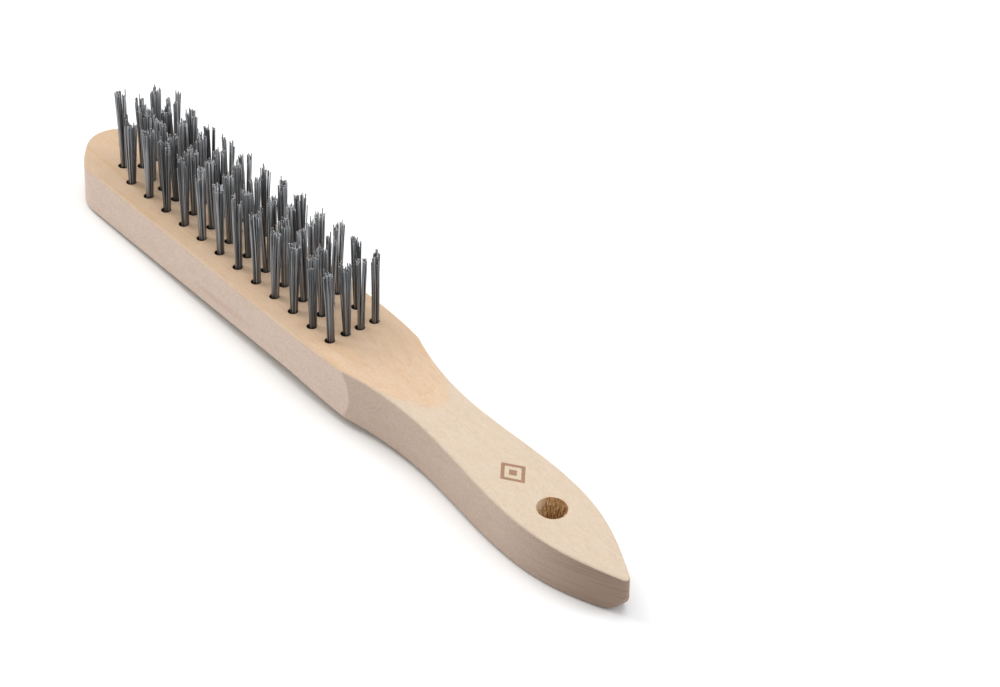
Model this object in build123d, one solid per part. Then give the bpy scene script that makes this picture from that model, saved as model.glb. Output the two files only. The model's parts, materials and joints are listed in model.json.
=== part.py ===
from build123d import *

import math
import os

# Hand wire brush: a one-piece beech block with its handle, and 50 steel-wire tufts.
# Each tuft is a bundle of wires folded over a flat anchor at the bottom of its hole.
#
# Everything is drawn in the block frame: X from the nose to the tip of the handle,
# Y across, Z up along the tufts, with zero on the flat face that holds the tufts.
# At the end it is tilted and moved, so that the brush lies on its back on Z = 0.

# ---- driving dimensions, millimetres and degrees -----------------------------
LENGTH = 288.0
HEAD_HALF_WIDTH = 16.7
HEAD_THICKNESS = 16.1
NOSE_LENGTH = 20.5
TAPER_START_X = 138.0
TAPER_END_X = 180.0
TAPER_END_HALF_WIDTH = 13.05
TOP_BEND_X = 151.0
TOP_END_Z = -12.3
BACK_BEND_X = 128.0
BACK_END_Z = -14.0
SIDE_MARGIN = 6.0
ARRIS_RADIUS = 0.8

# The grip's half width at mid height; its sides are barrelled, and cut the head's sides
# off at the shoulder. From SHOULDER_X on, the grip is narrower than the head.
SHOULDER_X = 164.0
GRIP = [
    (SHOULDER_X - 9, 18.9),
    (SHOULDER_X, 15.45),
    (177, 12.4),
    (195, 10.95),
    (217, 12.4),
    (241, 14.0),
    (262, 11.7),
    (275, 7.2),
    (283, 3.5),
    (LENGTH + 1, 0.5),
]
FIRST_GRIP_X = GRIP[0][0]
BARREL_RADIUS = 60.0
BARREL_REACH = 13.5
BARREL_MIDDLE_Z = (-10.5, -18.0)
TIP_RADIUS = 1.5
TIP_HALF_ANGLE = 36.0
TIP_FLANK = 30.0

# How far the head's block runs past its two ends, and how edges are told apart.
OVERLAP = 1.0
SHOULDER_REACH = 10.0
UPRIGHT = 0.8
STRAIGHT_ACROSS = 0.999

HANG_HOLE_X = 250.4
HANG_HOLE_RADIUS = 5.0

PITCH = 10.4
FIRST_TUFT_X = 32.1
LAST_COLUMN = 10.95
TUFT_HOLE_RADIUS = 1.75
TUFT_HOLE_DEPTH = 11.0
TUFT_CLEARANCE = 0.05
TUFT_RISE = 26.5
TUFT_TOP_RADIUS = 2.4
TUFT_TOP_ROUND = 0.5

ANCHOR_LENGTH = 5.2
ANCHOR_THICKNESS = 0.4
ANCHOR_HEIGHT = 2.0
ANCHOR_LIFT = 1.0


# Each row's place across, and its tufts' places along in pitches from the first column.
# The middle rows are staggered, and three tufts fill the nose.
ROWS = {
    "row_1": (-9.0, [*range(11), LAST_COLUMN]),
    "row_2": (-2.6, [0.24, 0.92, *(column + 0.67 for column in range(1, 10)), LAST_COLUMN]),
    "row_3": (3.1, [*(column + 0.35 for column in range(10)), LAST_COLUMN]),
    "row_4": (9.0, [*range(11), LAST_COLUMN]),
}
NOSE_TUFTS = [(22.2, -5.6), (26.2, -0.4), (25.2, 5.9)]


# ---- the block and its handle ------------------------------------------------
def head_plan():
    """Outline of the head from above, drawn on to the tip: the grip is cut out of it."""
    turn = math.radians(TIP_HALF_ANGLE)
    tip_start = (LENGTH - TIP_RADIUS * (1 - math.sin(turn)), TIP_RADIUS * math.cos(turn))
    flank = (
        tip_start[0] - TIP_FLANK * math.cos(turn),
        tip_start[1] + TIP_FLANK * math.sin(turn),
    )
    nose = Spline(
        [(0, 0), (4.6, 9.1), (11.3, 14.5), (NOSE_LENGTH, HEAD_HALF_WIDTH)],
        tangents=[(0, 1), (1, 0)],
    )
    side = Line((NOSE_LENGTH, HEAD_HALF_WIDTH), (TAPER_START_X, HEAD_HALF_WIDTH))
    taper_end = (TAPER_END_X, TAPER_END_HALF_WIDTH)
    taper = TangentArc([(TAPER_START_X, HEAD_HALF_WIDTH), taper_end], tangent=(1, 0))
    half = [nose, side, taper, Line(taper_end, flank), Line(flank, tip_start)]
    tip = ThreePointArc(tip_start, (LENGTH, 0), (tip_start[0], -tip_start[1]))
    return make_face(Wire(half + [tip] + [edge.mirror(Plane.XZ) for edge in half]))


def back_curve():
    """The back of the handle seen from the side, from the head's flat back to the tip."""
    return Spline(
        [
            (BACK_BEND_X, -HEAD_THICKNESS),
            (168, -19.4),
            (204, -21.9),
            (240, -23.5),
            (268, -25.1),
            (278, -25.2),
            (LENGTH - 4, -24.0),
            (LENGTH - 1, -20.6),
            (LENGTH + 1, BACK_END_Z),
        ],
        tangents=[(1, 0), (0.25, 1)],
    )


def side_outline():
    """Outline from the side: level over the head, then the handle falls away."""
    start, end = -SIDE_MARGIN, LENGTH + SIDE_MARGIN
    top = Spline(
        [(TOP_BEND_X, 0), (180, -1.95), (222, -5.0), (262, -8.5), (end, TOP_END_Z)],
        tangents=[(1, 0), (1, -0.12)],
    )
    edges = [
        Line((start, -HEAD_THICKNESS), (start, 0)),
        Line((start, 0), (TOP_BEND_X, 0)),
        top,
        Line((end, TOP_END_Z), (LENGTH + 1, BACK_END_Z)),
        back_curve(),
        Line((BACK_BEND_X, -HEAD_THICKNESS), (start, -HEAD_THICKNESS)),
    ]
    return make_face(Wire([Plane.XZ * edge for edge in edges]))


def grip_section(x, half_width):
    """The grip cut across at x, taller than the handle, with its sides as arcs."""
    share = (x - SHOULDER_X) / (LENGTH - SHOULDER_X)
    middle = BARREL_MIDDLE_Z[0] + share * (BARREL_MIDDLE_Z[1] - BARREL_MIDDLE_Z[0])
    low, high = middle - BARREL_REACH, middle + BARREL_REACH
    slenderness = min(1.0, half_width / BARREL_REACH)
    edge = half_width - slenderness * BARREL_REACH**2 / (2 * BARREL_RADIUS)
    outline = [
        ThreePointArc((edge, low), (half_width, middle), (edge, high)),
        Line((edge, high), (-edge, high)),
        ThreePointArc((-edge, high), (-half_width, middle), (-edge, low)),
        Line((-edge, low), (edge, low)),
    ]
    return Plane.YZ.offset(x) * make_face(Wire(outline))


def is_rounded(edge):
    """The shoulder's creases and the arrises are rounded; bends straight across are not."""
    way, place = edge % 0.5, edge.center().X
    if abs(way.Z) > UPRIGHT:
        return abs(place - SHOULDER_X) < SHOULDER_REACH
    return abs(way.Y) < STRAIGHT_ACROSS or place > HANG_HOLE_X


def block_body():
    """One block cut to its plan and its side view, with the grip barrelled."""
    room = 4 * HEAD_THICKNESS
    grip = loft([grip_section(x, half_width) for x, half_width in GRIP])
    head = Pos(FIRST_GRIP_X / 2, 0, 0) * Box(FIRST_GRIP_X + 2 * OVERLAP, room, room)
    plan = extrude(Pos(0, 0, -room / 2) * head_plan(), room, dir=(0, 0, 1))
    side = extrude(Pos(0, -room / 2, 0) * side_outline(), room, dir=(0, 1, 0))
    body = plan & side & (grip + head)
    return fillet([edge for edge in body.edges() if is_rounded(edge)], ARRIS_RADIUS)


def tuft_places():
    """Every row's name and the places of its tufts on the flat face."""
    rows = {"nose": NOSE_TUFTS}
    for row, (across, columns) in ROWS.items():
        rows[row] = [(FIRST_TUFT_X + column * PITCH, across) for column in columns]
    return rows


def anchor(point):
    """The flat piece of wire that a tuft is folded over, driven into the wood."""
    lift = -TUFT_HOLE_DEPTH + ANCHOR_LIFT + ANCHOR_HEIGHT / 2
    return Pos(*point, lift) * Box(ANCHOR_LENGTH, ANCHOR_THICKNESS, ANCHOR_HEIGHT)


def tuft(point):
    """One tuft as a plain solid: round in its hole, opening out above the wood."""
    root = TUFT_HOLE_RADIUS - TUFT_CLEARANCE
    outline = Polyline(
        (0, -TUFT_HOLE_DEPTH),
        (root, -TUFT_HOLE_DEPTH),
        (root, 0),
        (TUFT_TOP_RADIUS, TUFT_RISE - TUFT_TOP_ROUND),
        (TUFT_TOP_RADIUS - TUFT_TOP_ROUND, TUFT_RISE),
        (0, TUFT_RISE),
        close=True,
    )
    return Pos(*point, 0) * revolve(Plane.XZ * make_face(outline), Axis.Z) - anchor(point)


def handle(points):
    """The block with its hanging hole, the tufts' blind holes and the anchors' slots."""
    holes = [
        Pos(*point, 0) * extrude(Circle(TUFT_HOLE_RADIUS), -TUFT_HOLE_DEPTH) for point in points
    ]
    hang = Pos(HANG_HOLE_X, 0, 0) * Cylinder(HANG_HOLE_RADIUS, 4 * HEAD_THICKNESS)
    return block_body() - [hang] - holes - [anchor(point) for point in points]


# ---- the whole brush, laid on its back ---------------------------------------
def resting_tilt():
    """The slope that lets the edge of the nose and the back of the handle touch down."""
    samples = 200
    points = [back_curve() @ (n / samples) for n in range(samples + 1)]
    return max(
        math.degrees(math.atan2(-HEAD_THICKNESS - point.Y, point.X - ARRIS_RADIUS))
        for point in points
    )


def main():
    rows = tuft_places()
    nodes = {"handle": handle([point for points in rows.values() for point in points])}
    for row, points in rows.items():
        for number, point in enumerate(points, start=1):
            nodes[f"tuft_{row}_{number:02d}"] = tuft(point)
        nodes[f"anchors_{row}"] = Compound([anchor(point) for point in points])

    level = Rot(0, -resting_tilt(), 0)
    box = (level * nodes["handle"]).bounding_box()
    to_rest = Pos(-box.center().X, 0, -box.min.Z) * level

    os.makedirs("parts", exist_ok=True)
    for name, shape in nodes.items():
        export_step(to_rest * shape, f"parts/{name}.step")

    whole = Compound([to_rest * shape for shape in nodes.values()]).bounding_box()
    print("pieces", len(nodes), "size", whole.size, "low", whole.min)
    hole_mouth = to_rest * Pos(HANG_HOLE_X, 0, 0)
    print("block frame at", to_rest.position, "turned", to_rest.orientation)
    print("hanging hole", hole_mouth.position)


main()
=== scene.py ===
import json
import math
from collections import namedtuple

import bpy
import numpy as np
from mathutils import Matrix, Quaternion, Vector


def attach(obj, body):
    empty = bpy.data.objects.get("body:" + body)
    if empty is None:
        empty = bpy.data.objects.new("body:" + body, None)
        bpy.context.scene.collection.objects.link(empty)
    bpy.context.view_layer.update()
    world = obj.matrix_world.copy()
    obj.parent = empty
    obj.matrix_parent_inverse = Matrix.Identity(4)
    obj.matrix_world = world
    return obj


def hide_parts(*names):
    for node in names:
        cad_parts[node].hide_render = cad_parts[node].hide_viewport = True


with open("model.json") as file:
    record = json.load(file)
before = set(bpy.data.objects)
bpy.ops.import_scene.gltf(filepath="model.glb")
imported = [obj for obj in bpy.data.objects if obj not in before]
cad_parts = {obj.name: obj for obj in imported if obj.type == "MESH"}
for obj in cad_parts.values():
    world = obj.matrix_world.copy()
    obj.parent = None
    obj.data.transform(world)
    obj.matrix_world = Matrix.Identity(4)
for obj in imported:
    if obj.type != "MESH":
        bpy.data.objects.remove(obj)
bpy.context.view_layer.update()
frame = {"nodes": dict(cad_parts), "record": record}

MM = 0.001
SEED = 4117

# ---- the block frame -----------------------------------------------------------
# X runs from the nose to the tip, Y across and Z up along the tufts, in millimetres,
# with zero at the nose on the flat face. The mount on the block's back says where it is.
BACK_MOUNT_X = 85.0
HEAD_THICKNESS = 16.1
HANG_HOLE_X = 250.4
HANG_HOLE_RADIUS = 5.0

mounts = {mount["name"]: mount for mount in frame["record"]["mounts"]}
UP = -Vector(mounts["block_back"]["axis"]).normalized()
ACROSS = Vector((0, 1, 0))
ALONG = ACROSS.cross(UP)
ORIGIN = Vector(mounts["block_back"]["pos_m"]) + (HEAD_THICKNESS * UP - BACK_MOUNT_X * ALONG) * MM
TILT = math.atan2(ALONG.z, ALONG.x)
AXES = np.array([ALONG, ACROSS, UP])


def to_part(points):
    """Points of the block frame, in millimetres, as points of the part, in metres."""
    return np.asarray(points, float) @ AXES * MM + np.array(ORIGIN)


def block_box(node):
    """Lowest and highest corner of a CAD node in the block frame."""
    points = np.array([vertex.co for vertex in frame["nodes"][node].data.vertices], float)
    local = (points - np.array(ORIGIN)) @ AXES.T / MM
    return local.min(0), local.max(0)


# ---- camera ----------------------------------------------------------------------
# The point it looks at is in the block frame. Its distance is in metres, its angles in
# degrees, and its lens and sensor in millimetres.
AIM = (180.3, 34.0, 0.0)
DISTANCE = 1.4536
AZIMUTH = 50.63
ELEVATION = 37.68
ROLL = 2.45
LENS = 162.0
SENSOR_WIDTH = 36.0
CLIP_START, CLIP_END = 0.05, 40.0


def make_camera():
    azimuth, elevation = math.radians(AZIMUTH), math.radians(ELEVATION)
    back = Vector((
        math.sin(azimuth) * math.cos(elevation),
        -math.cos(azimuth) * math.cos(elevation),
        math.sin(elevation),
    ))
    data = bpy.data.cameras.new("camera")
    data.lens = LENS
    data.sensor_width = SENSOR_WIDTH
    data.clip_start, data.clip_end = CLIP_START, CLIP_END
    camera = bpy.data.objects.new("camera", data)
    bpy.context.scene.collection.objects.link(camera)
    camera.location = Vector(to_part(AIM)) + back * DISTANCE
    camera.rotation_mode = "QUATERNION"
    level = (-back).to_track_quat("-Z", "Y")
    camera.rotation_quaternion = level @ Quaternion((0, 0, 1), math.radians(ROLL))
    bpy.context.scene.camera = camera


# ---- node helpers ------------------------------------------------------------------
# A noise: how often it repeats per unit along X, Y and Z, its shift, detail and roughness.
Pattern = namedtuple("Pattern", "repeats shift detail rough", defaults=((0, 0, 0), 3.0, 0.55))


def new_material(name):
    """A material, its node graph and its shader."""
    material = bpy.data.materials.new(name)
    material.use_nodes = True
    tree = material.node_tree
    return material, Graph(tree), tree.nodes["Principled BSDF"]


class Graph:
    """Short ways to add shader nodes to one material."""

    def __init__(self, tree):
        self.tree = tree

    def node(self, kind, **settings):
        made = self.tree.nodes.new(kind)
        for key, value in settings.items():
            setattr(made, key, value)
        return made

    def link(self, source, target):
        """Link a socket to another, or set a constant on it directly."""
        if isinstance(source, (int, float, tuple)):
            target.default_value = source
        else:
            self.tree.links.new(source, target)

    def math(self, operation, *values):
        made = self.node("ShaderNodeMath", operation=operation)
        for value, socket in zip(values, made.inputs):
            self.link(value, socket)
        return made.outputs[0]

    def product(self, value, *factors):
        for factor in factors:
            value = self.math("MULTIPLY", value, factor)
        return value

    def scaled(self, value, scale, plus):
        return self.math("MULTIPLY_ADD", value, scale, plus)

    def squared(self, value):
        return self.math("POWER", value, 2.0)

    def from_centre(self, value, centre, half_size):
        """How far a value is from a centre, in half sizes."""
        return self.math("DIVIDE", self.math("SUBTRACT", value, centre), half_size)

    def ramp(self, value, start, end):
        """0 up to start and 1 from end on, smooth between; start may be the larger."""
        made = self.node("ShaderNodeMapRange", interpolation_type="SMOOTHSTEP")
        self.link(value, made.inputs["Value"])
        made.inputs["From Min"].default_value = min(start, end)
        made.inputs["From Max"].default_value = max(start, end)
        made.inputs["To Min"].default_value = float(start > end)
        made.inputs["To Max"].default_value = float(start < end)
        return made.outputs["Result"]

    def mix(self, factor, a, b, blend="MIX"):
        made = self.node("ShaderNodeMix", data_type="RGBA", blend_type=blend)
        self.link(factor, made.inputs["Factor"])
        colour_a, colour_b = [socket for socket in made.inputs if socket.type == "RGBA"]
        self.link(a, colour_a)
        self.link(b, colour_b)
        return next(socket for socket in made.outputs if socket.type == "RGBA")

    def stretched(self, coordinates, repeats, shift=(0, 0, 0)):
        made = self.node("ShaderNodeMapping")
        self.link(coordinates, made.inputs["Vector"])
        made.inputs["Scale"].default_value = repeats
        made.inputs["Location"].default_value = shift
        return made.outputs[0]

    def noise(self, coordinates, pattern):
        made = self.node("ShaderNodeTexNoise")
        self.link(self.stretched(coordinates, pattern.repeats, pattern.shift), made.inputs["Vector"])
        made.inputs["Scale"].default_value = 1.0
        made.inputs["Detail"].default_value = pattern.detail
        made.inputs["Roughness"].default_value = pattern.rough
        return made.outputs["Fac"]

    def cells(self, coordinates, repeats):
        """Distance to the nearest of many scattered points."""
        made = self.node("ShaderNodeTexVoronoi", feature="F1")
        self.link(self.stretched(coordinates, repeats), made.inputs["Vector"])
        made.inputs["Scale"].default_value = 1.0
        return made.outputs["Distance"]

    def bump(self, height, distance, strength):
        made = self.node("ShaderNodeBump")
        self.link(height, made.inputs["Height"])
        made.inputs["Distance"].default_value = distance
        made.inputs["Strength"].default_value = strength
        return made.outputs[0]

    def object_point(self):
        return self.node("ShaderNodeTexCoord").outputs["Object"]

    def block_point(self):
        """The surface point in the block frame, in millimetres."""
        mapping = self.node("ShaderNodeMapping", vector_type="POINT")
        turn = Matrix.Rotation(TILT, 3, "Y")
        self.link(self.object_point(), mapping.inputs["Vector"])
        mapping.inputs["Rotation"].default_value = (0, TILT, 0)
        mapping.inputs["Scale"].default_value = (1 / MM, 1 / MM, 1 / MM)
        mapping.inputs["Location"].default_value = turn @ (-ORIGIN) / MM
        return mapping.outputs[0]

    def split(self, vector):
        made = self.node("ShaderNodeSeparateXYZ")
        self.link(vector, made.inputs[0])
        return made.outputs


# ---- beech -------------------------------------------------------------------------
TAN = (0.66, 0.483, 0.335, 1)
AMBER = (0.66, 0.43, 0.22, 1)
CREAM = (0.625, 0.512, 0.398, 1)
SIDE = (0.695, 0.560, 0.478, 1)
# Painted shade: the grip's sides past the crease are painted this darker, browner colour.
PAINTED_GRIP_SHADE = (0.55, 0.43, 0.352, 1)
TIP_GRAIN = (0.25, 0.170, 0.120, 1)
STREAK = (0.15, 0.095, 0.065, 1)
HEART = (0.55, 0.33, 0.26, 1)
RING_LINE = (0.56, 0.35, 0.19, 1)
RAY_FLECK = (0.40, 0.25, 0.15, 1)
BORE = (0.80, 0.52, 0.26, 1)
BORE_DEEP = (0.46, 0.24, 0.09, 1)
BORE_CLEAN = (0.74, 0.60, 0.44, 1)
CHAR = (0.27, 0.125, 0.06, 1)
# Painted shade for the walls of the tufts' holes.
PAINTED_HOLE_SHADE = (0.05, 0.03, 0.02, 1)
SPLINTER_DARK = (0.52, 0.29, 0.11, 1)
SPLINTER_PALE = (0.88, 0.64, 0.36, 1)

# Tints that are multiplied in.
WHITE = (1, 1, 1, 1)
NOSE_TINT = (0.90, 0.90, 0.90, 1)
FIBRE_TINT = (0.95, 0.925, 0.895, 1)
MOTTLE_TINT = (0.965, 0.95, 0.935, 1)
SPECKLE_TINT = (0.935, 0.925, 0.915, 1)
PORE_TINT = (0.89, 0.87, 0.85, 1)

# Noises in the wood, per millimetre: most are long along X, the way of the fibres.
WANDER = Pattern((0.007, 0.05, 0.05), detail=2.0)
PATCHES = Pattern((0.03, 0.2, 0.2), (7, 3, 1))
FIBRES = Pattern((0.10, 2.4, 2.4), detail=6.0, rough=0.62)
MOTTLE = Pattern((0.14, 0.45, 0.45), (3, 8, 2), 4.0, 0.6)
SPECKLE = Pattern((0.8, 1.6, 1.6), (1, 6, 9), 4.0, 0.7)
PORES = Pattern((1.1, 4.0, 2.6), (5, 2, 8), 3.0, 0.6)
TIP_BANDS = Pattern((0.022, 0.05, 1.5), (2, 5, 4), 5.0, 0.7)
SCORCH = Pattern((0.9, 2.4, 2.4))
TORN_WALL = Pattern((1.6, 1.6, 0.35), detail=5.0, rough=0.7)
SPLINTERED = Pattern((1.3, 1.3, 0.8), detail=4.0, rough=0.65)
FLECK_REPEATS = (0.60, 3.0, 1.8)

# Where each noise starts and ends to show.
AMBER_RANGE = (0.45, 0.72)
RING_RANGE = (0.30, 0.62)
FIBRE_RANGE = (0.35, 0.75)
MOTTLE_RANGE = (0.40, 0.68)
SPECKLE_RANGE = (0.38, 0.66)
PORE_RANGE = (0.45, 0.66)
FLECK_RANGE = (0.26, 0.10)
STREAK_RANGE = (0.47, 0.70)
TORN_RANGE = (0.42, 0.62)
SPLINTER_RANGE = (0.36, 0.64)

# How strongly each colour is laid over the wood.
AMBER_SHARE = 0.30
TAN_RING_SHARE, CREAM_RING_SHARE = 0.36, 0.10
SIDE_SHARE = 0.92
PAINTED_GRIP_SHADE_SHARE = 0.95
EDGE_SHARE = 0.35
HEART_SHARE = 0.30
FLECK_SHARE = 0.14
TOP_PORE_SHARE = 0.3
TIP_SHARE = 0.88
STREAK_SHARE = 0.60
CLEAN_SHARE = 0.8

# Annual rings: arcs round a line above the block, with cream wood under tan.
RING_RADIUS = 52.0
RING_PITCH = 1.3
RING_SHARPNESS = 5.0
WANDER_DEPTH = 2.4
CREAM_DEPTH = (3.0, 3.45)

# How far a surface is turned sideways to count as a side, and up to count as the face.
SIDE_FACING = (0.62, 0.93)
TIP_FACING = (0.25, 0.7)
MARK_FACING = (0.4, 0.6)
# The sides are tan near the face, the face is darker towards the nose, and end grain
# shows in the sides towards the tip.
EDGE_Z = (-2.2, -0.4)
NOSE_TINT_X = (0.0, 165.0)
TIP_X = (238.0, 286.0)
# From a crease, an arc that bows towards the tip, the grip's sides carry painted shade: they are
# painted darker and browner.
CREASE_X, CREASE_Z, CREASE_BOW, CREASE_SOFTNESS = 164.6, -9.6, 1 / 23, 0.5
# A reddish streak of heartwood.
HEART_X, HEART_HALF_LENGTH = 96.0, 20.0
HEART_Z, HEART_HALF_HEIGHT = -11.0, 1.6
HEART_FADE = (1.0, 0.1)

# The burnt mark, in half sizes: an outlined lozenge with a small full one inside.
MARK_X = 230.7
MARK_HALF_LENGTH, MARK_HALF_WIDTH = 6.2, 5.2
MARK_OUTER, MARK_INNER, MARK_DOT = (1.0, 0.94), (0.64, 0.70), (0.34, 0.28)
MARK_RAGGEDNESS = 0.10
SCORCH_CONTRAST, SCORCH_BASE = 0.35, 0.68

# The hanging hole's wall, and how far along CLEAN_WAY it is cut cleanly, with the grain.
BORE_OUT = (HANG_HOLE_RADIUS + 0.22, HANG_HOLE_RADIUS + 0.04)
CLEAN_WAY = (-0.63, -0.77)
CLEAN_REACH = (0.5, 4.2)
# The tufts' holes fill a box under the face that holds no other surface; there the wood is painted
# near black, as painted shade for the dark inside the holes.
HOLES_TOP, HOLES_FLOOR = (-0.02, -0.35), (-15.0, -14.5)
HOLES_START, HOLES_END, HOLES_SIDE = (18.0, 20.0), (150.0, 148.0), (13.0, 12.5)

BEECH_ROUGHNESS, SPLINTER_ROUGHNESS = 0.74, 0.85
FIBRE_HEIGHT, FLECK_HEIGHT, BURNT_HEIGHT, TORN_HEIGHT = 0.6, -0.4, -0.9, 4.0
BEECH_BUMP, SPLINTER_BUMP = (0.00012, 0.6), (0.0001, 0.5)


class Surface:
    """The beech surface: where a point is in the block, and which way it faces."""

    def __init__(self, graph):
        self.point = graph.block_point()
        self.x, self.y, self.z = graph.split(self.point)
        normal = graph.node("ShaderNodeNewGeometry").outputs["Normal"]
        _, faces_y, self.faces_z = graph.split(normal)
        self.aside = graph.ramp(graph.math("ABSOLUTE", faces_y), *SIDE_FACING)


def ring_depth(graph, at):
    """Depth through the rings, which bow across the block and wander along it."""
    bow = graph.product(graph.squared(at.y), 0.5 / RING_RADIUS)
    depth = graph.math("SUBTRACT", bow, at.z)
    wander = graph.math("SUBTRACT", graph.noise(at.point, WANDER), 0.5)
    return graph.scaled(wander, WANDER_DEPTH, depth)


def plain_wood(graph, at):
    """Tan wood over cream, with faint rings that come and go."""
    depth = ring_depth(graph, at)
    layer = graph.ramp(depth, *CREAM_DEPTH)
    patches = graph.noise(at.point, PATCHES)
    amber = graph.product(graph.ramp(patches, *AMBER_RANGE), AMBER_SHARE)
    colour = graph.mix(layer, graph.mix(amber, TAN, AMBER), CREAM)
    ring = graph.math("FRACT", graph.math("DIVIDE", depth, RING_PITCH))
    line = graph.math("POWER", ring, RING_SHARPNESS)
    share = graph.scaled(layer, CREAM_RING_SHARE - TAN_RING_SHARE, TAN_RING_SHARE)
    line = graph.product(line, graph.ramp(patches, *RING_RANGE), share)
    return graph.mix(line, colour, RING_LINE)


def side_wood(graph, at, colour):
    """The sawn sides are pinker and greyer, and past the grip's crease they are painted darker and
    browner as painted shade.
    """
    colour = graph.mix(graph.product(at.aside, SIDE_SHARE), colour, SIDE)
    # Painted shade: past the crease the grip's sides are painted darker and browner.
    height = graph.squared(graph.math("SUBTRACT", at.z, CREASE_Z))
    past = graph.scaled(height, CREASE_BOW, at.x)
    grip_shade = graph.ramp(past, CREASE_X - CREASE_SOFTNESS, CREASE_X + CREASE_SOFTNESS)
    colour = graph.mix(graph.product(grip_shade, at.aside, PAINTED_GRIP_SHADE_SHARE), colour, PAINTED_GRIP_SHADE)
    edge = graph.product(at.aside, graph.ramp(at.z, *EDGE_Z), EDGE_SHARE)
    colour = graph.mix(edge, colour, TAN)
    along = graph.squared(graph.from_centre(at.x, HEART_X, HEART_HALF_LENGTH))
    below = graph.squared(graph.from_centre(at.z, HEART_Z, HEART_HALF_HEIGHT))
    heart = graph.ramp(graph.math("ADD", along, below), *HEART_FADE)
    return graph.mix(graph.product(heart, at.aside, HEART_SHARE), colour, HEART)


def fine_grain(graph, at, colour, fibres, fleck):
    """Darkens the face towards the nose, and all the wood by its fibres, pores and flecks."""
    top = graph.math("SUBTRACT", 1.0, at.aside)
    nose = graph.mix(graph.ramp(at.x, *NOSE_TINT_X), NOSE_TINT, WHITE)
    colour = graph.mix(top, colour, nose, "MULTIPLY")
    mottle = graph.ramp(graph.noise(at.point, MOTTLE), *MOTTLE_RANGE)
    speckle = graph.ramp(graph.noise(at.point, SPECKLE), *SPECKLE_RANGE)
    pores = graph.ramp(graph.noise(at.point, PORES), *PORE_RANGE)
    sawn = graph.scaled(at.aside, 1.0 - TOP_PORE_SHARE, TOP_PORE_SHARE)
    for amount, tint in (
        (graph.ramp(fibres, *FIBRE_RANGE), FIBRE_TINT),
        (mottle, MOTTLE_TINT),
        (speckle, SPECKLE_TINT),
        (graph.product(pores, sawn), PORE_TINT),
    ):
        colour = graph.mix(amount, colour, tint, "MULTIPLY")
    return graph.mix(graph.product(fleck, FLECK_SHARE), colour, RAY_FLECK)


def tip_wood(graph, at, colour):
    """Towards the tip the sides cut the fibres across: brown, with dark streaks."""
    turned = graph.math("SUBTRACT", 1.0, graph.ramp(at.faces_z, *TIP_FACING))
    amount = graph.product(graph.ramp(at.x, *TIP_X), turned)
    colour = graph.mix(graph.product(amount, TIP_SHARE), colour, TIP_GRAIN)
    bands = graph.ramp(graph.noise(at.point, TIP_BANDS), *STREAK_RANGE)
    return graph.mix(graph.product(bands, amount, STREAK_SHARE), colour, STREAK)


def burnt_mark(graph, at, colour):
    """A plain lozenge with a smaller one inside, burnt lightly into the handle."""
    along = graph.math("ABSOLUTE", graph.from_centre(at.x, MARK_X, MARK_HALF_LENGTH))
    across = graph.math("ABSOLUTE", graph.math("DIVIDE", at.y, MARK_HALF_WIDTH))
    scorch = graph.noise(at.point, SCORCH)
    ragged = graph.math("SUBTRACT", scorch, 0.5)
    out = graph.scaled(ragged, MARK_RAGGEDNESS, graph.math("ADD", along, across))
    band = graph.product(graph.ramp(out, *MARK_OUTER), graph.ramp(out, *MARK_INNER))
    shape = graph.math("MAXIMUM", band, graph.ramp(out, *MARK_DOT))
    shape = graph.product(shape, graph.ramp(at.faces_z, *MARK_FACING))
    strength = graph.scaled(scorch, SCORCH_CONTRAST, SCORCH_BASE)
    return graph.mix(graph.product(shape, strength), colour, CHAR), shape


def drilled_wood(graph, at, colour):
    """Inside the hanging hole the wood is brown and torn; the walls of the tufts' holes are painted
    near black, as painted shade.
    """
    along = graph.math("SUBTRACT", at.x, HANG_HOLE_X)
    out = graph.math("SQRT", graph.math("ADD", graph.squared(along), graph.squared(at.y)))
    bore = graph.ramp(out, *BORE_OUT)
    torn = graph.noise(at.point, TORN_WALL)
    brown = graph.mix(graph.ramp(torn, *TORN_RANGE), BORE_DEEP, BORE)
    clean = graph.scaled(at.y, CLEAN_WAY[1], graph.product(along, CLEAN_WAY[0]))
    clean = graph.product(graph.ramp(clean, *CLEAN_REACH), CLEAN_SHARE)
    colour = graph.mix(bore, colour, graph.mix(clean, brown, BORE_CLEAN))
    # Painted shade: the walls of the tufts' holes are painted near black.
    inside = graph.product(
        graph.ramp(at.z, *HOLES_TOP),
        graph.ramp(at.z, *HOLES_FLOOR),
        graph.ramp(at.x, *HOLES_END),
        graph.ramp(at.x, *HOLES_START),
        graph.ramp(graph.math("ABSOLUTE", at.y), *HOLES_SIDE),
    )
    return graph.mix(inside, colour, PAINTED_HOLE_SHADE), graph.product(bore, torn)


def make_beech():
    material, graph, shader = new_material("beech")
    at = Surface(graph)
    fibres = graph.noise(at.point, FIBRES)
    fleck = graph.ramp(graph.cells(at.point, FLECK_REPEATS), *FLECK_RANGE)

    colour = plain_wood(graph, at)
    colour = side_wood(graph, at, colour)
    colour = fine_grain(graph, at, colour, fibres, fleck)
    colour = tip_wood(graph, at, colour)
    colour, burnt = burnt_mark(graph, at, colour)
    colour, torn = drilled_wood(graph, at, colour)
    graph.link(colour, shader.inputs["Base Color"])
    graph.link(BEECH_ROUGHNESS, shader.inputs["Roughness"])

    height = graph.scaled(fibres, FIBRE_HEIGHT, graph.product(fleck, FLECK_HEIGHT))
    height = graph.scaled(burnt, BURNT_HEIGHT, height)
    height = graph.scaled(torn, TORN_HEIGHT, height)
    graph.link(graph.bump(height, *BEECH_BUMP), shader.inputs["Normal"])
    return material


# ---- torn fibres in the hanging hole ---------------------------------------------------
TORN_FIBRES = 150
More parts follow.
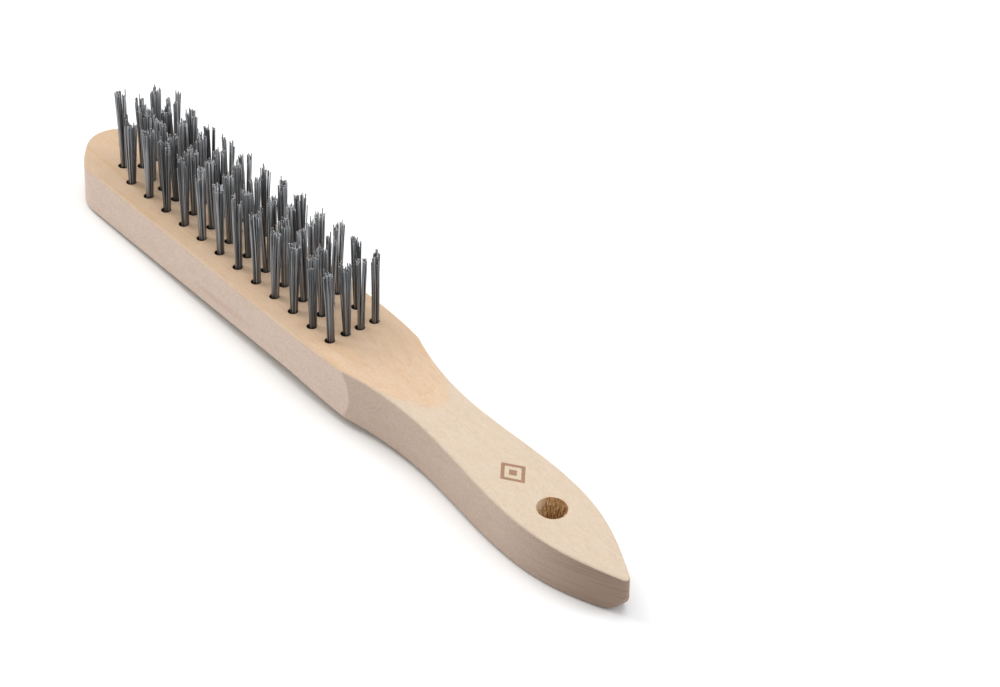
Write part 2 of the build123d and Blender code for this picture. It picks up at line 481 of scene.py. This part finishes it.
# The drill tears the wood where it cuts against the grain, on two quarters of the wall.
TORN_QUARTERS = (2.3, 5.4)
TORN_SPREAD = 0.55
# The hole's mouth, and how far below it a splinter starts.
MOUTH_Z = -7.3
TORN_START = (0.5, 6.5)
TORN_LENGTH = (1.2, 4.2)
TORN_WIDTH = (0.10, 0.30)
TORN_LIFT = (0.25, 0.95)
TORN_SIDEWAYS = 0.35
# Half way down a splinter bends away from the wall by this share of its lift, and has this
# share of its width. Its section is a triangle, this many times as deep as half its width.
TORN_MIDDLE_LIFT, TORN_MIDDLE_WIDTH, TORN_DEPTH = 0.35, 0.75, 0.6
# Splinters start just inside the wood.
TORN_SUNK = 0.02


def make_torn_fibres():
    """Splinters that the drill left standing on the wall of the hanging hole."""
    rng = np.random.default_rng(SEED + 1)
    points, faces = [], []
    for _ in range(TORN_FIBRES):
        angle = rng.choice(TORN_QUARTERS) + rng.normal(0, TORN_SPREAD)
        outward = np.array([math.cos(angle), math.sin(angle), 0.0])
        beside = np.array([-outward[1], outward[0], 0.0])
        top = MOUTH_Z - rng.uniform(*TORN_START)
        length = rng.uniform(*TORN_LENGTH)
        width = rng.uniform(*TORN_WIDTH)
        lift = rng.uniform(*TORN_LIFT)
        root = np.array([HANG_HOLE_X, 0, top]) + outward * (HANG_HOLE_RADIUS + TORN_SUNK)
        tip = root - np.array([0, 0, length]) - outward * lift
        tip += beside * rng.normal(0, TORN_SIDEWAYS)
        middle = (root + tip) / 2 - outward * lift * TORN_MIDDLE_LIFT
        start = len(points)
        for place, share in ((root, 1.0), (middle, TORN_MIDDLE_WIDTH)):
            half = beside * width * share
            deep = outward * width * share * TORN_DEPTH
            points += [place - half, place + half, place + deep]
        points.append(tip)
        for side in range(3):
            other = (side + 1) % 3
            faces.append((start + side, start + other, start + 3 + other, start + 3 + side))
            faces.append((start + 3 + side, start + 3 + other, start + 6))
        faces.append((start + 2, start + 1, start))
    mesh = bpy.data.meshes.new("torn_fibres")
    mesh.from_pydata(to_part(points).tolist(), [], faces)
    mesh.materials.append(make_splinter_wood())
    mesh.update()
    piece = bpy.data.objects.new("torn_fibres", mesh)
    bpy.context.scene.collection.objects.link(piece)
    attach(piece, "root")


def make_splinter_wood():
    material, graph, shader = new_material("torn_beech")
    torn = graph.noise(graph.block_point(), SPLINTERED)
    colour = graph.mix(graph.ramp(torn, *SPLINTER_RANGE), SPLINTER_DARK, SPLINTER_PALE)
    graph.link(colour, shader.inputs["Base Color"])
    graph.link(SPLINTER_ROUGHNESS, shader.inputs["Roughness"])
    graph.link(graph.bump(torn, *SPLINTER_BUMP), shader.inputs["Normal"])
    return material


# ---- steel ---------------------------------------------------------------------------
# Noises on the steel, per metre: drawing marks run along Z and rolling marks along X.
DRAWN = Pattern((9000, 9000, 700))
CUT = Pattern((6000, 6000, 6000), detail=2.0)
ROLLED = Pattern((400, 9000, 9000), detail=4.0)

WIRE_DARK = (0.085, 0.087, 0.091, 1)
WIRE_PALE = (0.42, 0.425, 0.435, 1)
WIRE_RANGE = (0.1, 0.9)
CUT_DARK, CUT_PALE = (0.35, 0.35, 0.36, 1), (0.8, 0.8, 0.8, 1)
ROLLED_DARK, ROLLED_PALE = (0.42, 0.42, 0.43, 1), (0.68, 0.68, 0.68, 1)
WIRE_METALLIC, CUT_METALLIC, ROLLED_METALLIC = 0.75, 0.8, 1.0
CUT_ROUGHNESS = 0.35
# How much of a wire's shade comes from its drawing marks; the rest is its own tone.
DRAWN_SHARE = 0.25
# Roughness as a noise's scale and base.
WIRE_ROUGHNESS, ROLLED_ROUGHNESS = (0.3, 0.25), (0.25, 0.2)


def make_wire_steel():
    material, graph, shader = new_material("steel_wire")
    tone = graph.node("ShaderNodeAttribute", attribute_name="tone").outputs["Fac"]
    drawn = graph.noise(graph.object_point(), DRAWN)
    shade = graph.scaled(drawn, DRAWN_SHARE, graph.product(tone, 1.0 - DRAWN_SHARE))
    colour = graph.mix(graph.ramp(shade, *WIRE_RANGE), WIRE_DARK, WIRE_PALE)
    graph.link(colour, shader.inputs["Base Color"])
    graph.link(WIRE_METALLIC, shader.inputs["Metallic"])
    graph.link(graph.scaled(drawn, *WIRE_ROUGHNESS), shader.inputs["Roughness"])
    return material


def make_cut_steel():
    material, graph, shader = new_material("cut_steel")
    colour = graph.mix(graph.noise(graph.object_point(), CUT), CUT_DARK, CUT_PALE)
    graph.link(colour, shader.inputs["Base Color"])
    graph.link(CUT_METALLIC, shader.inputs["Metallic"])
    graph.link(CUT_ROUGHNESS, shader.inputs["Roughness"])
    return material


def make_anchor_steel():
    material, graph, shader = new_material("anchor_steel")
    rolled = graph.noise(graph.object_point(), ROLLED)
    graph.link(graph.mix(rolled, ROLLED_DARK, ROLLED_PALE), shader.inputs["Base Color"])
    graph.link(ROLLED_METALLIC, shader.inputs["Metallic"])
    graph.link(graph.scaled(rolled, *ROLLED_ROUGHNESS), shader.inputs["Roughness"])
    return material


# ---- wires ---------------------------------------------------------------------------
WIRE_RADIUS = 0.2
WIRE_SIDES = 6
FOLDED_WIRES = 17
# The wires spiral out over a bundle that is pressed to one side of its wider hole.
GOLDEN_ANGLE = math.pi * (3 - math.sqrt(5))
BUNDLE_RADIUS = 1.15
BUNDLE_SHIFT = np.array([0.25, 0.29])
BUNDLE_JITTER = 0.05
# Above the face a bundle opens out by this factor and leans a little.
SPLAY = 1.22
TUFT_LEAN = 0.30
# A wire's points above the face, as shares of its height. It moves outwards by the power
# OPENING of that share, and bows sideways between its ends.
STATIONS = (0.0, 0.3, 0.62, 1.0)
OPENING = 1.12
WIRE_BOW = 0.10
# Inside the hole a wire is straight to this share of the depth; then it turns under the
# anchor. The fold's points are shares of the way across and heights over its lowest one.
STRAIGHT_DEPTH = 0.45
FOLD_FLOOR = 0.6
FOLD = ((0.075, 1.4), (0.25, 0.35), (0.5, 0.0), (0.75, 0.35), (0.925, 1.4))
# Wires end a little under the CAD tuft's top, and unevenly; a few are long or short.
TOP_DROP = 0.7
END_SPREAD = 0.45
SIDE_SPREAD = 0.13
LONG_CHANCE, LONG_BY = 0.10, (0.8, 2.0)
SHORT_CHANCE, SHORT_BY = 0.12, (0.8, 3.5)
# A tuft parts into two to four lobes, which lean apart and end at their own heights.
FEWEST_LOBES, MOST_LOBES = 2, 4
LOBE_TURN = 0.3
LOBE_LEAN = 0.62
LEAN_RANGE = (0.35, 1.5)
LOBE_HEIGHT = 0.8
# Tufts unlike the rest: how far their lobes lean, and how much taller they stand.
ODD_TUFTS = {
    "tuft_nose_01": (0.80, 2.6),
    "tuft_nose_03": (1.00, 1.6),
    "tuft_row_1_01": (0.55, -2.0),
    "tuft_row_1_12": (0.30, -0.6),
    "tuft_row_4_01": (1.00, 1.2),
    "tuft_row_4_12": (1.10, 0.3),
}
# Each wire's tone is drawn from a beta distribution with these two parameters.
TONE_SHAPE = (1.2, 1.5)


def tube(path, twist):
    """A closed wire round a path: its points, side faces and two end faces."""
    tangent = np.gradient(path, axis=0)
    tangent /= np.linalg.norm(tangent, axis=1)[:, None]
    # No wire runs along X, so X can serve as the guide for the rings.
    side = np.cross(tangent, [1.0, 0.0, 0.0])
    side /= np.linalg.norm(side, axis=1)[:, None]
    other = np.cross(tangent, side)
    angle = np.linspace(0, 2 * math.pi, WIRE_SIDES, endpoint=False) + twist
    ring = side[:, None] * np.cos(angle)[:, None] + other[:, None] * np.sin(angle)[:, None]
    points = (path[:, None] + WIRE_RADIUS * ring).reshape(-1, 3)
    faces = []
    for row in range(len(path) - 1):
        for column in range(WIRE_SIDES):
            a = row * WIRE_SIDES + column
            b = row * WIRE_SIDES + (column + 1) % WIRE_SIDES
            faces.append((a, b, b + WIRE_SIDES, a + WIRE_SIDES))
    last = (len(path) - 1) * WIRE_SIDES
    ends = [tuple(range(WIRE_SIDES))[::-1], tuple(range(last, last + WIRE_SIDES))]
    return points, faces, ends


def wire_places(rng):
    """Where a tuft's wires leave the hole: near and far ends, paired from left to right."""
    count = 2 * FOLDED_WIRES
    number = np.arange(count) + 0.5
    angle = number * GOLDEN_ANGLE + rng.uniform(0, 2 * math.pi)
    out = BUNDLE_RADIUS * np.sqrt(number / count)
    places = np.stack([out * np.cos(angle), out * np.sin(angle)], 1)
    places += rng.normal(0, BUNDLE_JITTER, places.shape)
    halves = np.split(places[np.argsort(places[:, 1])], 2)
    return [half[np.argsort(half[:, 0])] for half in halves]


def wire_path(rng, near, far, depth, tops):
    """A folded wire: down from one end, under the anchor and up to the other end."""
    halves = []
    for root, top in zip((near, far), tops):
        bow = rng.normal(0, WIRE_BOW, 2)
        half = [[*root, -depth * STRAIGHT_DEPTH]]
        for share in STATIONS:
            place = root + (top[:2] - root) * share**OPENING + bow * math.sin(math.pi * share)
            half.append([*place, top[2] * share])
        halves.append(half)
    floor = FOLD_FLOOR - depth
    fold = [[*(near + (far - near) * share), floor + height] for share, height in FOLD]
    return np.array(halves[0][::-1] + fold + halves[1])


def make_lobes(rng, name):
    """Directions of a tuft's lobes, and each one's lean outwards and extra height."""
    lean, tall = ODD_TUFTS.get(name, (LOBE_LEAN, 0.0))
    count = int(rng.integers(FEWEST_LOBES, MOST_LOBES + 1))
    angles = rng.uniform(0, 2 * math.pi) + np.arange(count) * 2 * math.pi / count
    angles += rng.normal(0, LOBE_TURN, count)
    ways = np.stack([np.cos(angles), np.sin(angles)], 1)
    leans = lean * rng.uniform(*LEAN_RANGE, count)
    heights = tall + rng.normal(0, LOBE_HEIGHT, count)
    return ways, leans, heights


def wire_top(rng, root, rise, lean, lobes):
    """Where a wire that leaves the hole at root ends, above the face."""
    ways, leans, heights = lobes
    lobe = int(np.argmax(ways @ root))
    reach = rise - TOP_DROP + heights[lobe] + rng.normal(0, END_SPREAD)
    if rng.random() < LONG_CHANCE:
        reach += rng.uniform(*LONG_BY)
    if rng.random() < SHORT_CHANCE:
        reach -= rng.uniform(*SHORT_BY)
    place = root * SPLAY + lean + ways[lobe] * leans[lobe] + rng.normal(0, SIDE_SPREAD, 2)
    return np.array([*(place + BUNDLE_SHIFT), reach])


def make_wires(node, rng):
    """A tuft's wires as points, side faces, end faces and a tone for each point."""
    low, high = block_box(node)
    axis = (low[:2] + high[:2]) / 2
    depth, rise = -low[2], high[2]
    lean = rng.normal(0, TUFT_LEAN, 2)
    lobes = make_lobes(rng, node)
    points, faces, ends, tones = [], [], [], []
    for roots in zip(*wire_places(rng)):
        tops = [wire_top(rng, root, rise, lean, lobes) for root in roots]
        near, far = (root + BUNDLE_SHIFT for root in roots)
        path = wire_path(rng, near, far, depth, tops)
        path[:, :2] += axis
        wire_points, wire_faces, wire_ends = tube(path, twist=rng.uniform(0, 1))
        start = len(points)
        points += list(wire_points)
        faces += [tuple(start + corner for corner in face) for face in wire_faces]
        ends += [tuple(start + corner for corner in face) for face in wire_ends]
        tones += [rng.beta(*TONE_SHAPE)] * len(wire_points)
    return points, faces, ends, tones


def make_tuft(node, rng, materials):
    """The wires that stand in for one CAD tuft, with the cut material on their ends."""
    points, faces, ends, tones = make_wires(node, rng)
    mesh = bpy.data.meshes.new("wires_" + node)
    mesh.from_pydata(to_part(points).tolist(), [], faces + ends)
    for material in materials:
        mesh.materials.append(material)
    is_end = np.arange(len(mesh.polygons)) >= len(faces)
    mesh.polygons.foreach_set("material_index", is_end.astype(np.int32))
    mesh.polygons.foreach_set("use_smooth", ~is_end)
    attribute = mesh.attributes.new("tone", "FLOAT", "POINT")
    attribute.data.foreach_set("value", np.array(tones, np.float32))
    mesh.update()
    piece = bpy.data.objects.new("wires_" + node, mesh)
    bpy.context.scene.collection.objects.link(piece)
    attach(piece, "root")
    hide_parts(node)


# ---- studio ----------------------------------------------------------------------------
FLOOR_HALF_SIZE = 15.0
FLOOR_COLOUR, FLOOR_ROUGHNESS = (0.90, 0.90, 0.90, 1), 0.9
WORLD_STRENGTH = 0.62
# Each light's place and size in metres, its power in watts and its colour. All of them
# point at the part's origin.
LIGHTS = {
    "key": ((-3.0, -0.7, 3.2), (2.4, 2.4), 100.0, (1.0, 0.99, 0.975)),
    "top": ((0.1, 0.3, 1.9), (1.4, 1.4), 14.0, (1.0, 1.0, 1.0)),
    "rim": ((1.0, 1.3, 0.75), (0.9, 0.5), 9.0, (0.86, 0.93, 1.0)),
}


def make_floor():
    size = FLOOR_HALF_SIZE
    mesh = bpy.data.meshes.new("floor")
    corners = [(-size, -size, 0), (size, -size, 0), (size, size, 0), (-size, size, 0)]
    mesh.from_pydata(corners, [], [(0, 1, 2, 3)])
    material, graph, shader = new_material("floor")
    graph.link(FLOOR_COLOUR, shader.inputs["Base Color"])
    graph.link(FLOOR_ROUGHNESS, shader.inputs["Roughness"])
    mesh.materials.append(material)
    floor = bpy.data.objects.new("floor", mesh)
    bpy.context.scene.collection.objects.link(floor)


def make_light(name, place, size, power, colour):
    data = bpy.data.lights.new(name, "AREA")
    data.shape = "RECTANGLE"
    data.size, data.size_y = size
    data.energy = power
    data.color = colour
    lamp = bpy.data.objects.new(name, data)
    bpy.context.scene.collection.objects.link(lamp)
    lamp.location = Vector(place)
    lamp.rotation_mode = "QUATERNION"
    lamp.rotation_quaternion = (-Vector(place)).to_track_quat("-Z", "Y")


def make_studio():
    world = bpy.data.worlds.new("world")
    world.use_nodes = True
    background = world.node_tree.nodes["Background"]
    background.inputs["Color"].default_value = WHITE
    background.inputs["Strength"].default_value = WORLD_STRENGTH
    bpy.context.scene.world = world
    make_floor()
    for name, settings in LIGHTS.items():
        make_light(name, *settings)
    bpy.context.scene.view_settings.view_transform = "Standard"


# ---- the brush -------------------------------------------------------------------------
def dress_node(name, material):
    mesh = frame["nodes"][name].data
    mesh.materials.clear()
    mesh.materials.append(material)


def main():
    make_camera()
    make_studio()
    dress_node("handle", make_beech())
    make_torn_fibres()
    anchor_steel = make_anchor_steel()
    wire_steel = (make_wire_steel(), make_cut_steel())
    rng = np.random.default_rng(SEED)
    for name in sorted(frame["nodes"]):
        if name.startswith("anchors"):
            dress_node(name, anchor_steel)
        elif name.startswith("tuft"):
            make_tuft(name, rng, wire_steel)


main()
